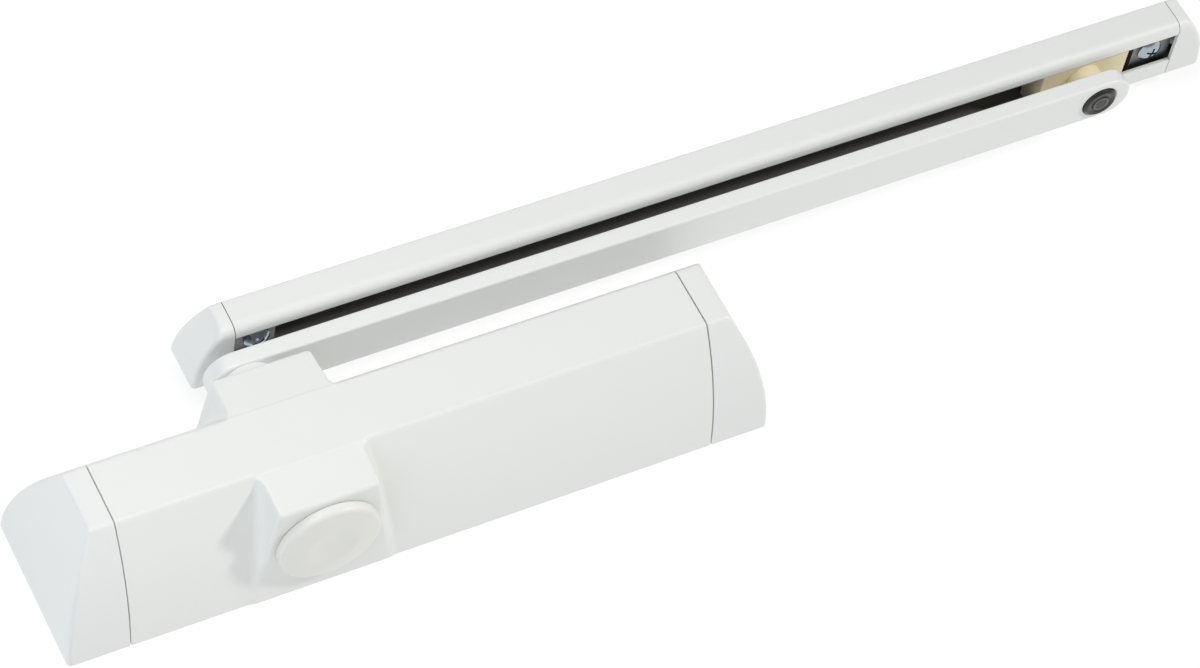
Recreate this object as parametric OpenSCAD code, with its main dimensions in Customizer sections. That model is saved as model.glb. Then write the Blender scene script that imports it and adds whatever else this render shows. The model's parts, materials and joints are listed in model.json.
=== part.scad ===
// Slide-rail door closer: a die-cast housing with two spindle bosses, a cam spindle between two
// roller pistons, a flat arm, and a slide channel that holds the arm's slide block.
// +X runs along the housing, +Y is the spindle axis towards the arm, +Z points away from the
// mounting face. The origin is the centre of the housing's mounting face.

/* [Housing] */
// Length of the housing over both end caps
body_l = 281; // [270:1:340]
// Depth of the housing from the mounting face to the front face
body_d = 52; // [50:0.1:64]
// Height of the housing at the mounting face
body_h = 65; // [62:1:78]
// Height of the flat front face between its two creases
front_h = 25.4; // [22:0.2:32]
// How far each side bows outward from a straight line
side_bow = 3.6; // [2.5:0.1:6]
// Length of each end cap along the housing
cap_l = 23.6; // [22:0.2:30]
// Bow radius of the end caps' end faces
cap_face_r = 100; // [90:1:140]
// Wall thickness of the end caps
cap_wall = 2; // [1.5:0.1:2.6]
// Open joint between an end cap and the housing
cap_seam = 0.5; // [0.2:0.1:1]
// Radius of the piston bore
bore_r = 19; // [15.8:0.1:19.6]
// Thickness of the two screw feet under the end caps
foot_t = 8; // [5:0.5:10]

/* [Spindle bosses] */
// Distance of the spindle from the housing's middle, towards the left end
spindle_offset = 42.3; // [30:0.1:44]
// Distance of the spindle from the mounting face
spindle_z = 27.7; // [24:0.1:30]
// How far each boss's outer face lies inside the housing's height at the mounting face
boss_inset = 1.3; // [0:0.1:2]
// Wall of the boss round the spindle's recess, at its outer front edge
boss_wall = 1.3; // [1:0.1:4]
// How much longer each half of the boss is at the housing's crease than at its outer front edge
boss_flare_front = 1.5; // [0:0.1:4]
// How much longer each half of the boss is at the mounting face than at its outer front edge
boss_flare_back = 7.8; // [4:0.1:12]
// How far the boss's front face falls towards its outer edge
boss_fall = 1.8; // [0:0.1:4]
// Rounding along the boss's outer front edge
boss_round = 1.8; // [1:0.1:4]
// Radius of the round spindle cover
cover_r = 19.8; // [18.5:0.1:22]
// Height of the spindle cover's crown
cover_h = 6.5; // [5.5:0.1:9]

/* [Spindle and cam] */
// Radius of the spindle's journals
journal_r = 7.5; // [7.2:0.1:7.8]
// Side of the square on both spindle ends
square_side = 10; // [8:0.1:10.2]
// Thickness of the cam
cam_t = 12; // [8:0.5:12.5]
// Distance from the spindle to a roller's centre in the cam's notch
roller_dist = 12.5; // [12.2:0.1:13]
// Piston travel over the arm's full swing
piston_travel = 9; // [6:0.5:9.5]
// Full swing of the arm in degrees
arm_swing = 150; // [150:1:170]
// Radius of the cam rollers
roller_r = 6; // [5.8:0.1:6.2]
// Radius of the roller pins
roller_pin_r = 2.5; // [2:0.1:2.6]
// Outer radius of the spindle bearings
bearing_r = 11; // [9.5:0.1:13.2]

/* [Arm] */
// Distance between the spindle and the pivot screw
arm_centres = 365.1; // [320:0.1:400]
// Height of the arm at the spindle
arm_w = 22; // [20:0.2:26]
// Height of the arm at its far end
arm_w_end = 20; // [18:0.2:24]
// Thickness of the arm
arm_t = 7; // [5:0.5:9]
// Gap between the boss and the arm
arm_gap = 9.2; // [6:0.1:14]
// How far the arm's rounded far end is centred past the pivot screw
arm_tail = 4; // [0:0.5:6]
// Radius of the pivot screw's shoulder
pivot_r = 4; // [3:0.1:4.2]
// Radius of the pivot screw's head
pivot_head_r = 7.2; // [6.5:0.1:8]
// How far the pivot screw's head stands out of the arm
pivot_proud = 1.2; // [0.6:0.1:2]

/* [Slide channel] */
// Length of the channel over both end caps
rail_l = 438; // [420:1:530]
// Height of the channel at its mounting face
rail_h_back = 20.2; // [18:0.2:26]
// Height of the channel at its front face
rail_h_front = 13.9; // [13.6:0.1:18]
// Wall thickness of the channel
rail_wall = 1.8; // [1.4:0.1:2]
// Width of the slot for the slide block
slot_w = 15.6; // [13:0.1:18.8]
// Depth of the channel's lip between the mounting face and the slot
lip_back = 8.4; // [7.8:0.1:10]
// Depth of the channel's lip between the slot and the front face
lip_front = 5.6; // [5.2:0.1:8]
// Gap between the arm and the channel
rail_gap = 6.2; // [5:0.1:9]
// Length of each channel end cap
rail_cap_l = 15.9; // [15:0.1:20]
// Distance that the channel overhangs the pivot screw at rest
rail_overhang = 58.3; // [56:0.1:80]
// Length of the slide block
block_l = 39; // [30:1:40]
// Distance from the channel's ends to its fixing holes
rail_fix_in = 8.5; // [8:0.1:10]

/* [Fixings] */
// Distance from the housing's ends to its fixing holes
fix_in = 11.5; // [10:0.1:13]
// Distance between the housing's fixing holes across the housing
fix_y = 19; // [16:0.5:24]
// Radius of the housing's fixing holes
fix_r = 2.75; // [2:0.05:3.5]
// Radius of the channel's fixing holes
rail_fix_r = 2.25; // [1.8:0.05:2.6]

/* [Clearances] */
// Radial running clearance of shafts and pistons
run_gap = 0.04; // [0.02:0.01:0.08]
// Radial clearance of pieces seated in the housing
seat_gap = 0.05; // [0.02:0.01:0.2]
// Free gap between the cam and its rollers
cam_gap = 0.15; // [0.1:0.05:0.3]
// Side clearance of sliding plastic pieces
slide_gap = 0.4; // [0.2:0.05:0.6]

/* [Hidden] */
$fn = 64;
far = 200;

// Housing section
half_l = body_l / 2;
seam_x = half_l - cap_l;
mid_z = spindle_z;
side_y = body_h / 2;
boss_y = side_y - boss_inset;
crease_y = front_h / 2;
side_chord = norm([side_y - crease_y, body_d]);
side_r = (side_chord * side_chord / 4 + side_bow * side_bow) / (2 * side_bow);
side_reach = side_r - side_bow;
side_cy = (crease_y + side_y) / 2 - side_reach * body_d / side_chord;
side_cz = body_d / 2 - side_reach * (side_y - crease_y) / side_chord;
foot_half_y = fix_y / 2 + 7;
fix_x = half_l - fix_in;
peg_r = 1.7;
peg_y = (bore_r + section_y(mid_z)) / 2;
peg_in = 6;

// Spindle, its bearings and its cam
spindle_x = -spindle_offset;
ear = roller_pin_r + 1.3;
ear_gap = 0.3;
roller_end_gap = 0.2;
pitch_k = piston_travel / arm_swing;
cam_tip_r = roller_dist + pitch_k * 180 - roller_r;
cam_room = 0.6;
nut_t = 3.2;
nut_r = bearing_r + 2;
nut_y = boss_y - nut_t;
seal_l = 2.8;
seal_y = nut_y - seal_l;
bearing_y = bore_r + 0.5;
recess_r = nut_r + 4.2;
recess_t = 3;
skirt_r = recess_r - 0.4;
skirt_wall = 1.6;
cover_shell = 1.8;
cover_dish = 1.2;
stub_l = cover_h - cover_shell - cover_dish - 1.1;
thread_r = 3;
screw_head_l = 2.2;

// Half lengths of the spindle bosses
boss_half_edge = recess_r + boss_wall;
boss_half_front = boss_half_edge + boss_flare_front;
boss_half_back = boss_half_edge + boss_flare_back;

// Piston bore, from left to right
plug_t = 11;
plug_r = bore_r - seat_gap;
spanner_y = bore_r - 6.5;
spring_piston_l = 27;
damping_piston_l = 22;
piston_r = bore_r - run_gap;
roller_left = spindle_x - roller_dist - pitch_k * 180;
roller_right = spindle_x + roller_dist;
damping_head = roller_left + ear;
damping_back = damping_head - damping_piston_l;
spring_head = roller_right - ear;
spring_back = spring_head + spring_piston_l;
ring_w = 2.4;
ring_depth = 1.6;
ring_in = 5;
check_r = 4;
check_l = 7;
ball_r = 1.6;
plate_t = 6;
plate_gap = 17;
plate_x = seam_x - plug_t - plate_gap;
plate_r = bore_r - 0.4;
screw_r = 4;
collar_r = 7;
collar_t = 3;
outer_spring_r = bore_r - 3;
outer_wire_r = 2.1;
outer_turns = 11;
inner_wire_r = 1.5;
inner_spring_r = outer_spring_r - outer_wire_r - inner_wire_r - 0.9;
inner_turns = 14;
hub_r = inner_spring_r - inner_wire_r - 1.3;
damping_spring_r = bore_r - 6;
damping_wire_r = 1;
damping_turns = 4;
seal_wire_r = 1.2;

// Valves in the housing's left end face
valve_z = 9;
valve_r = 3.2;
valve_y = section_y(valve_z) - 9;
valve_l = 18;
gallery_r = 1.2;

// Arm and pivot
arm_y = boss_y + arm_gap;
arm_top = arm_y + arm_t;
pivot_x = spindle_x + arm_centres;
pivot_bore_t = 3.2;
pivot_chamfer = 0.5;
bush_wall = 1.4;
boss_seat_r = pivot_r + bush_wall + 1.6;
clip_t = 0.8;

// Slide channel
rail_y = arm_top + rail_gap;
rail_d = lip_back + slot_w + lip_front;
rail_z = mid_z - lip_back - slot_w / 2;
rail_front = rail_z + rail_d;
rail_x1 = pivot_x + rail_overhang;
rail_x0 = rail_x1 - rail_l;
rail_mid_x = (rail_x0 + rail_x1) / 2;
rail_seam0 = rail_x0 + rail_cap_l;
rail_seam1 = rail_x1 - rail_cap_l;
rail_round = 4.5;
rail_bow = 0.8;
rail_face_r = 45;
rail_cap_seam = 0.3;
rail_cap_wall = 1.6;
rail_floor = rail_y + rail_wall;
rail_lip = 1.4;
head_y = rail_floor + slide_gap;
head_top = rail_y + rail_h_front - rail_wall - 1.2;
tongue_y = rail_floor + 1.4;
tongue_l = 17.5;
tongue_gap = 0.3;
rail_screw_in = 10;
rail_screw_r = 2.5;
rail_head_r = 5.2;
rail_head_t = 2.8;

// ---- shared shapes ----

// Half the housing's height at depth z
function section_y(z) = side_cy + sqrt(side_r * side_r - (z - side_cz) * (z - side_cz));

module along_x(x0, x1) {
    translate([x0, 0, 0]) rotate([90, 0, 90]) linear_extrude(x1 - x0) children();
}
module along_y(y0, y1) {
    translate([0, y1, 0]) rotate([90, 0, 0]) linear_extrude(y1 - y0) children();
}
module rod_x(x0, x1, r, y = 0, z = mid_z) {
    translate([x0, y, z]) rotate([0, 90, 0]) cylinder(h = x1 - x0, r = r);
}
module rod_y(y0, y1, r, x = spindle_x, z = mid_z) {
    translate([x, y1, z]) rotate([90, 0, 0]) cylinder(h = y1 - y0, r = r);
}
module tube_x(x0, x1, r_in, r_out) {
    difference() {
        rod_x(x0, x1, r_out);
        rod_x(x0 - 1, x1 + 1, r_in);
    }
}
module tube_y(y0, y1, r_in, r_out, x = spindle_x) {
    difference() {
        rod_y(y0, y1, r_out, x);
        rod_y(y0 - 1, y1 + 1, r_in, x);
    }
}
// Box between two corners
module block(a, b) {
    translate(a) cube(b - a);
}
module mirror_y() {
    children();
    mirror([0, 1, 0]) children();
}
module mirror_x() {
    children();
    mirror([1, 0, 0]) children();
}
// Ring of round wire about the X axis
module wire_ring(x, r, wire_r) {
    translate([x, 0, mid_z]) rotate([0, 90, 0]) rotate_extrude() translate([r, 0]) circle(r = wire_r);
}
// Hexagon socket along Y, sunk from y0 to y1
module hex_socket(y0, y1, across, x) {
    translate([x, y1, mid_z]) rotate([90, 0, 0]) cylinder(h = y1 - y0, r = across / sqrt(3), $fn = 6);
}
// Point of a coil spring's wire: a is the angle round the coil, b the angle round the wire
function coil_point(a, b, x, r, wire_r) =
    [x + wire_r * sin(b), (r + wire_r * cos(b)) * cos(a), mid_z + (r + wire_r * cos(b)) * sin(a)];
// Coil spring along X between two faces, with its wire's ends cut square
module coil(x0, x1, r, wire_r, turns, per_turn = 14, sides = 6) {
    n = turns * per_turn;
    a0 = x0 + wire_r + 0.1;
    pitch = (x1 - x0 - 2 * wire_r - 0.2) / n;
    points = [
        for (i = [0:n]) for (j = [0:sides - 1])
            coil_point(i * 360 / per_turn, j * 360 / sides, a0 + i * pitch, r, wire_r)
    ];
    walls = [
        for (i = [0:n - 1]) for (j = [0:sides - 1])
            [i * sides + j, i * sides + (j + 1) % sides,
             (i + 1) * sides + (j + 1) % sides, (i + 1) * sides + j]
    ];
    start = [for (j = [sides - 1:-1:0]) j];
    stop = [for (j = [0:sides - 1]) n * sides + j];
    polyhedron(points = points, faces = concat([start], walls, [stop]), convexity = 10);
}

// ---- housing ----

// Cross-section of the housing in Y and Z; inset shrinks its sides and front
module housing_section(inset = 0) {
    intersection() {
        translate([-side_y, -inset]) square([body_h, body_d]);
        translate([side_cy, side_cz]) circle(r = side_r - inset, $fn = 200);
        translate([-side_cy, side_cz]) circle(r = side_r - inset, $fn = 200);
    }
}
// Outline of one boss in Y and Z
module boss_section() {
    edge_z = body_d - boss_fall - boss_round;
    polygon(concat(
        [[0, 0], [boss_y, 0]],
        [for (a = [0:15:90]) [boss_y - boss_round * (1 - cos(a)), edge_z + boss_round * sin(a)]],
        [[crease_y, body_d], [0, body_d]]
    ));
}
// Everything behind the plane that bounds a boss towards +X
module boss_side() {
    lean_y = (boss_half_front - boss_half_edge) / (boss_y - crease_y);
    lean_z = (boss_half_back - boss_half_edge) / body_d;
    reach = boss_half_back + lean_y * boss_y;
    translate([reach, 0, 0])
        rotate([0, -asin(lean_z / norm([1, lean_y, lean_z])), atan(lean_y)])
            translate([-far, -far / 2, -far / 2]) cube([far, far, far]);
}
module boss() {
    intersection() {
        along_x(spindle_x - far / 2, spindle_x + far / 2) boss_section();
        translate([spindle_x, 0, 0]) boss_side();
        translate([spindle_x, 0, 0]) mirror([1, 0, 0]) boss_side();
    }
}
module foot() {
    block([seam_x - 1, -foot_half_y, 0], [half_l - cap_wall - 1.5, foot_half_y, foot_t]);
}
// Valve seat with its oil gallery, and a cross gallery into the damping chamber
module valve_hole(side) {
    y = side * valve_y;
    to_axis = [y, mid_z - valve_z];
    rod_x(-seam_x - 1, -seam_x + valve_l + 2, valve_r + seat_gap, y, valve_z);
    rod_x(-seam_x, damping_back + 8, gallery_r, y, valve_z);
    for (x = [-seam_x + valve_l + 5, damping_back + 6])
        translate([x, y, valve_z]) rotate([atan2(to_axis[0], to_axis[1]), 0, 0])
            cylinder(h = norm(to_axis) - bore_r / 2, r = gallery_r);
}
module housing() {
    color([0.93, 0.94, 0.92]) difference() {
        union() {
            along_x(-seam_x, seam_x) housing_section();
            mirror_y() boss();
            mirror_x() foot();
        }
        rod_x(-seam_x - 1, seam_x + 1, bore_r);
        rod_y(-cam_t / 2 - cam_room, cam_t / 2 + cam_room, cam_tip_r + cam_room);
        rod_y(-nut_y - 1, nut_y + 1, bearing_r + seat_gap);
        mirror_y() rod_y(nut_y, boss_y + 1, nut_r + seat_gap);
        mirror_y() tube_y(boss_y - recess_t, boss_y + 1, nut_r - 1, recess_r);
        mirror_x() mirror_y() rod_x(seam_x - peg_in - 0.5, seam_x + 1, peg_r + seat_gap, peg_y);
        for (side = [-1, 1]) valve_hole(side);
        mirror_x() mirror_y() translate([fix_x, fix_y / 2, -1]) cylinder(h = foot_t + 2, r = fix_r);
    }
}
// One end cap's outer form, shrunk by inset
module cap_form(inset, x0) {
    intersection() {
        along_x(x0, half_l - inset) housing_section(inset);
        rod_y(-far / 2, far / 2, cap_face_r - inset, half_l - cap_face_r, 0);
    }
}
module end_cap() {
    difference() {
        cap_form(0, seam_x + cap_seam);
        cap_form(cap_wall, seam_x - 1);
    }
    mirror_y() intersection() {
        rod_x(seam_x - peg_in, half_l, peg_r, peg_y);
        cap_form(cap_wall / 2, seam_x - peg_in - 1);
    }
}
module end_cap_left() {
    color([0.90, 0.91, 0.94]) mirror([1, 0, 0]) end_cap();
}
module end_cap_right() {
    color([0.90, 0.91, 0.94]) end_cap();
}
// Domed cover with a shallow dish in its crown and a skirt that snaps into the boss
module spindle_cover() {
    crown_r = 100;
    dish_r = 80;
    color([0.95, 0.94, 0.90]) translate([spindle_x, -boss_y, mid_z]) rotate([90, 0, 0]) {
        rotate_extrude($fn = 96) difference() {
            intersection() {
                translate([0, 0.05]) square([cover_r, cover_h]);
                translate([0, cover_h - crown_r]) circle(r = crown_r, $fn = 200);
            }
            intersection() {
                translate([-1, -1]) square([cover_r - cover_shell + 1, cover_h]);
                translate([0, cover_h - crown_r]) circle(r = crown_r - cover_shell - cover_dish, $fn = 200);
            }
            translate([0, cover_h - cover_dish + dish_r]) circle(r = dish_r, $fn = 200);
        }
        difference() {
            translate([0, 0, -recess_t + 0.3]) cylinder(h = recess_t + 2, r = skirt_r);
            translate([0, 0, -recess_t - 1]) cylinder(h = recess_t + 4, r = skirt_r - skirt_wall);
        }
    }
}

// ---- spindle and bearings ----

// Distance from the spindle to a roller's centre, at angle a round the cam
function pitch_r(a) = roller_dist + pitch_k * abs(a);
// Angle difference brought into -180 to 180
function wrap(a) = a - 360 * round(a / 360);
// Radius of the cam at angle p that keeps a roller at angle a just clear
function clear_r(p, a) =
    let (reach = pow(roller_r + cam_gap, 2) - pow(pitch_r(a) * sin(a - p), 2))
    reach < 0 || cos(a - p) < 0 ? far : pitch_r(a) * cos(a - p) - sqrt(reach);
function cam_r(p) = min([for (a = [-180:3:180]) if (abs(wrap(a - p)) < 60) clear_r(p, a)]);
module cam_outline() {
    polygon([for (p = [-180:5:175]) cam_r(p) * [cos(p), sin(p)]]);
}
module square_end(y0, y1, side) {
    block([spindle_x - side / 2, y0, mid_z - side / 2], [spindle_x + side / 2, y1, mid_z + side / 2]);
}
module spindle() {
    color([0.55, 0.56, 0.58]) difference() {
        union() {
            translate([spindle_x, 0, mid_z]) along_y(-cam_t / 2, cam_t / 2) cam_outline();
            rod_y(-boss_y + 0.5, -cam_t / 2, journal_r);
            rod_y(cam_t / 2, arm_y - 0.5, journal_r);
            square_end(-boss_y - stub_l, -boss_y + 1, square_side);
            square_end(arm_y - 1, arm_top - 3, square_side);
        }
        rod_y(arm_top - 18, arm_top, thread_r + seat_gap);
        rod_y(-boss_y - stub_l - 1, -boss_y + 12, thread_r);
    }
}
// Cage bearing seated in the housing on the arm's side
module bearing() {
    color([0.70, 0.71, 0.73]) tube_y(bearing_y, seal_y - 0.1, journal_r + run_gap, bearing_r);
}
module cover_bearing() {
    mirror([0, 1, 0]) bearing();
}
module arm_bearing() {
    bearing();
}
module bearing_nuts() {
    spanner_holes = 4;
    color([0.62, 0.62, 0.64]) mirror_y() difference() {
        tube_y(nut_y, boss_y - 0.4, journal_r + 0.3, nut_r);
        for (i = [0:spanner_holes - 1]) {
            a = 45 + i * 360 / spanner_holes;
            rod_y(nut_y + 1, boss_y + 1, 0.9, spindle_x + 10.3 * cos(a), mid_z + 10.3 * sin(a));
        }
    }
}
module shaft_seals() {
    color([0.12, 0.12, 0.13]) mirror_y() tube_y(seal_y, nut_y - 0.1, journal_r + run_gap, bearing_r);
}

// ---- pistons ----

// Piston along X with two ears for its roller; head is the ears' tip and dir points to its back
module piston(head, back, roller, dir) {
    slot_end = roller + dir * (roller_r + 0.6);
    ring_a = back - dir * ring_in;
    difference() {
        rod_x(min(head, back), max(head, back), piston_r);
        block([min(head - dir, slot_end), -cam_t / 2 - ear_gap, -1],
              [max(head - dir, slot_end), cam_t / 2 + ear_gap, body_d + 1]);
        rod_y(-bore_r, bore_r, roller_pin_r + 0.01, roller);
        tube_x(min(ring_a, ring_a + dir * ring_w), max(ring_a, ring_a + dir * ring_w),
               piston_r - ring_depth, bore_r + 1);
    }
}
module piston_ring(back, dir) {
    ring_a = back - dir * ring_in;
    color([0.20, 0.22, 0.24])
        tube_x(min(ring_a, ring_a + dir * ring_w) + 0.1, max(ring_a, ring_a + dir * ring_w) - 0.1,
               piston_r - ring_depth + 0.1, piston_r);
}
module roller(x) {
    color([0.75, 0.76, 0.78]) tube_y(-cam_t / 2 + roller_end_gap, cam_t / 2 - roller_end_gap,
                                     roller_pin_r + run_gap, roller_r, x);
}
module roller_pin(x) {
    color([0.60, 0.61, 0.63]) rod_y(-bore_r + 2.5, bore_r - 2.5, roller_pin_r, x);
}
module spring_piston() {
    color([0.50, 0.51, 0.53]) piston(spring_head, spring_back, roller_right, 1);
}
module spring_piston_ring() {
    piston_ring(spring_back, 1);
}
module spring_roller() {
    roller(roller_right);
}
module spring_roller_pin() {
    roller_pin(roller_right);
}
module damping_piston() {
    color([0.50, 0.51, 0.53]) difference() {
        piston(damping_head, damping_back, roller_left, -1);
        rod_x(damping_back - 1, damping_back + check_l + 0.2, check_r + seat_gap);
        rod_x(damping_back, roller_left, gallery_r);
    }
}
module damping_piston_ring() {
    piston_ring(damping_back, -1);
}
module damping_roller() {
    roller(roller_left);
}
module damping_roller_pin() {
    roller_pin(roller_left);
}
// Screwed-in cage of the damping piston's check valve
module check_valve() {
    color([0.72, 0.60, 0.34]) difference() {
        rod_x(damping_back, damping_back + check_l, check_r);
        rod_x(damping_back - 1, damping_back + 2, gallery_r);
        rod_x(damping_back + 1.8, damping_back + check_l + 1, ball_r + 0.25);
    }
}
module check_ball() {
    color([0.80, 0.80, 0.82]) translate([damping_back + 4.2, 0, mid_z]) sphere(r = ball_r);
}

// ---- springs, plate, plugs and valves ----

module closing_spring_outer() {
    color([0.30, 0.31, 0.33]) coil(spring_back, plate_x, outer_spring_r, outer_wire_r, outer_turns);
}
module closing_spring_inner() {
    color([0.35, 0.36, 0.38]) coil(spring_back, plate_x, inner_spring_r, inner_wire_r, inner_turns);
}
module damping_spring() {
    color([0.40, 0.41, 0.43])
        coil(-seam_x + plug_t, damping_back, damping_spring_r, damping_wire_r, damping_turns);
}
module spring_plate() {
    hub_l = 6;
    color([0.58, 0.58, 0.60]) difference() {
        union() {
            rod_x(plate_x, plate_x + plate_t, plate_r);
            rod_x(plate_x - hub_l, plate_x, hub_r);
        }
        rod_x(plate_x - hub_l - 1, plate_x + plate_t + 1, screw_r + run_gap);
    }
}
module adjusting_screw() {
    head_x = seam_x + 3;
    socket = 4;
    color([0.45, 0.46, 0.48]) difference() {
        rod_x(plate_x - 12, head_x, screw_r);
        translate([head_x - 4, 0, mid_z]) rotate([0, 90, 0]) cylinder(h = 5, r = socket / sqrt(3), $fn = 6);
    }
}
module adjusting_collar() {
    x1 = seam_x - plug_t - 0.2;
    color([0.55, 0.56, 0.58]) tube_x(x1 - collar_t, x1, screw_r + seat_gap, collar_r);
}
// Screwed end plug with two spanner holes and a groove for its O-ring
module end_plug(hole) {
    difference() {
        rod_x(seam_x - plug_t, seam_x, plug_r);
        tube_x(seam_x - 4 - 2 * seal_wire_r, seam_x - 4, plug_r - 2 * seal_wire_r, bore_r + 1);
        mirror_y() rod_x(seam_x - 5, seam_x + 1, 1.8, spanner_y);
        if (hole) rod_x(0, seam_x + 1, screw_r + run_gap);
    }
}
module end_plug_left() {
    color([0.66, 0.67, 0.69]) mirror([1, 0, 0]) end_plug(false);
}
module end_plug_right() {
    color([0.66, 0.67, 0.69]) end_plug(true);
}
module plug_seals() {
    color([0.10, 0.10, 0.11]) mirror_x()
        wire_ring(seam_x - 4 - seal_wire_r, plug_r - seal_wire_r - 0.02, seal_wire_r - 0.02);
}
// Slotted needle screw that throttles the oil; side is -1 or 1
module valve_screw(side) {
    y = side * valve_y;
    x0 = -seam_x - 2;
    tip = 4;
    color([0.74, 0.62, 0.36]) difference() {
        union() {
            rod_x(x0, -seam_x + valve_l - tip, valve_r, y, valve_z);
            translate([-seam_x + valve_l - tip, y, valve_z]) rotate([0, 90, 0])
                cylinder(h = tip, r1 = valve_r - 0.8, r2 = 0.6);
        }
        block([x0 - 1, y - valve_r - 1, valve_z - 0.4], [x0 + 1.2, y + valve_r + 1, valve_z + 0.4]);
    }
}
module closing_valve() {
    valve_screw(1);
}
module latching_valve() {
    valve_screw(-1);
}

// ---- arm ----

module arm_outline() {
    end_x = pivot_x + arm_tail;
    translate([spindle_x, mid_z]) circle(r = arm_w / 2);
    translate([end_x, mid_z]) circle(r = arm_w_end / 2);
    polygon([
        [spindle_x, mid_z - arm_w / 2], [end_x, mid_z - arm_w_end / 2],
        [end_x, mid_z + arm_w_end / 2], [spindle_x, mid_z + arm_w / 2]
    ]);
}
module arm() {
    color([0.93, 0.94, 0.93]) difference() {
        along_y(arm_y, arm_top) arm_outline();
        square_end(arm_y - 1, arm_top - screw_head_l - 0.2, square_side + 2 * seat_gap);
        rod_y(arm_y, arm_top + 1, thread_r + 0.3);
        arm_screw_head(seat_gap);
        rod_y(arm_y - 1, arm_top + 1, pivot_r + seat_gap, pivot_x);
        rod_y(arm_y - 1, arm_y + pivot_bore_t, pivot_head_r + 0.2, pivot_x);
    }
}
// Countersunk head of the arm screw, flush with the arm's outer face
module arm_screw_head(extra) {
    translate([spindle_x, arm_top - screw_head_l, mid_z]) rotate([-90, 0, 0])
        cylinder(h = screw_head_l, r1 = thread_r + 0.3 + extra, r2 = 5.6 + extra);
}
module arm_screw() {
    color([0.70, 0.71, 0.73]) difference() {
        union() {
            rod_y(arm_top - 17, arm_top - screw_head_l, thread_r);
            arm_screw_head(0);
        }
        hex_socket(arm_top - 2.6, arm_top + 1, 4, spindle_x);
    }
}
// Spacer between the boss and the arm; its flange and skirt close the boss's recess
module arm_collar() {
    color([0.90, 0.91, 0.90]) {
        tube_y(boss_y + 0.1, arm_y - 0.1, journal_r + 0.25, arm_w / 2 - 0.4);
        tube_y(boss_y + 0.1, boss_y + 1.1, journal_r + 0.25, recess_r + 0.8);
        tube_y(boss_y - recess_t + 0.3, boss_y + 0.6, skirt_r - skirt_wall, skirt_r);
    }
}
module pivot_screw() {
    top = head_top + clip_t + 1.2;
    head_y0 = arm_y - pivot_proud;
    color([0.22, 0.22, 0.23]) difference() {
        union() {
            rod_y(head_y0 + pivot_chamfer, arm_y + pivot_bore_t - 0.1, pivot_head_r, pivot_x);
            translate([pivot_x, head_y0 + pivot_chamfer, mid_z]) rotate([90, 0, 0])
                cylinder(h = pivot_chamfer, r1 = pivot_head_r, r2 = pivot_head_r - pivot_chamfer);
            rod_y(arm_y, top, pivot_r, pivot_x);
        }
        hex_socket(head_y0 - 1, arm_y + 3, 4, pivot_x);
        tube_y(head_top + 0.2, head_top + 0.3 + clip_t, pivot_r - 0.7, pivot_r + 1, pivot_x);
    }
}
module pivot_clip() {
    color([0.30, 0.30, 0.32]) tube_y(head_top + 0.25, head_top + 0.25 + clip_t, pivot_r - 0.65,
                                     pivot_r + 2, pivot_x);
}
module pivot_bush() {
    color([0.75, 0.62, 0.36])
        tube_y(arm_top + 0.4, head_top - 0.1, pivot_r + run_gap, pivot_r + bush_wall, pivot_x);
}
module slide_block() {
    neck = slot_w / 2 - slide_gap;
    head_z0 = rail_z + rail_wall + slide_gap;
    head_z1 = rail_front - rail_wall - slide_gap - 2.2;
    color([0.87, 0.80, 0.62]) difference() {
        union() {
            block([pivot_x - block_l / 2, rail_y + 0.2, mid_z - neck],
                  [pivot_x + block_l / 2, head_y + 1, mid_z + neck]);
            block([pivot_x - block_l / 2, head_y, head_z0], [pivot_x + block_l / 2, head_top, head_z1]);
            rod_y(arm_top + 0.3, rail_y + 1, boss_seat_r, pivot_x);
        }
        rod_y(arm_top, head_top + 1, pivot_r + bush_wall + 0.02, pivot_x);
    }
}

// ---- slide channel ----

// Cross-section of the channel in Y and Z, shrunk by inset
module rail_section(inset = 0) {
    y0 = rail_y + inset;
    z0 = rail_z + inset;
    z1 = rail_front - inset;
    round_r = max(rail_round - inset, 0.5);
    steps = 8;
    lean = [rail_h_front - rail_h_back, rail_d];
    out = [rail_d, rail_h_back - rail_h_front] / norm(lean);
    polygon(concat(
        [[y0, z0]],
        [
            for (i = [0:steps])
                let (t = inset / rail_d + (1 - 2 * inset / rail_d) * i / steps)
                [rail_y + rail_h_back + lean[0] * t + out[0] * (4 * rail_bow * t * (1 - t) - inset),
                 rail_z + lean[1] * t]
        ],
        [for (a = [90:15:180]) [y0 + round_r * (1 + cos(a)), z1 - round_r * (1 - sin(a))]]
    ));
}
module slide_channel() {
    color([0.93, 0.94, 0.92]) difference() {
        along_x(rail_seam0, rail_seam1) rail_section();
        along_x(rail_seam0 - 1, rail_seam1 + 1) rail_section(rail_wall);
        block([rail_seam0 - 1, rail_y - 1, mid_z - slot_w / 2],
              [rail_seam1 + 1, rail_floor + 0.5, mid_z + slot_w / 2]);
    }
}
// One channel end cap's outer form at the right end, shrunk by inset
module rail_cap_form(inset, x0) {
    intersection() {
        along_x(x0, rail_x1 - inset) rail_section(inset);
        rod_y(rail_y - 1, rail_y + 2 * rail_h_back, rail_face_r - inset, rail_x1 - rail_face_r, rail_z);
    }
}
module rail_cap(lip) {
    difference() {
        rail_cap_form(0, rail_seam1 + rail_cap_seam);
        rail_cap_form(rail_cap_wall, rail_seam1 - 1);
        block([rail_seam1 - 1, rail_y + rail_cap_wall, rail_z - 1],
              [rail_x1 - rail_cap_wall, rail_y + rail_h_back - rail_cap_wall - 0.8, rail_z + 2]);
    }
    if (lip > 0)
        block([rail_seam1 - lip, rail_y, mid_z - slot_w / 2 + 0.1],
              [rail_seam1 + 1, rail_floor, mid_z + slot_w / 2 - 0.1]);
}
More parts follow.
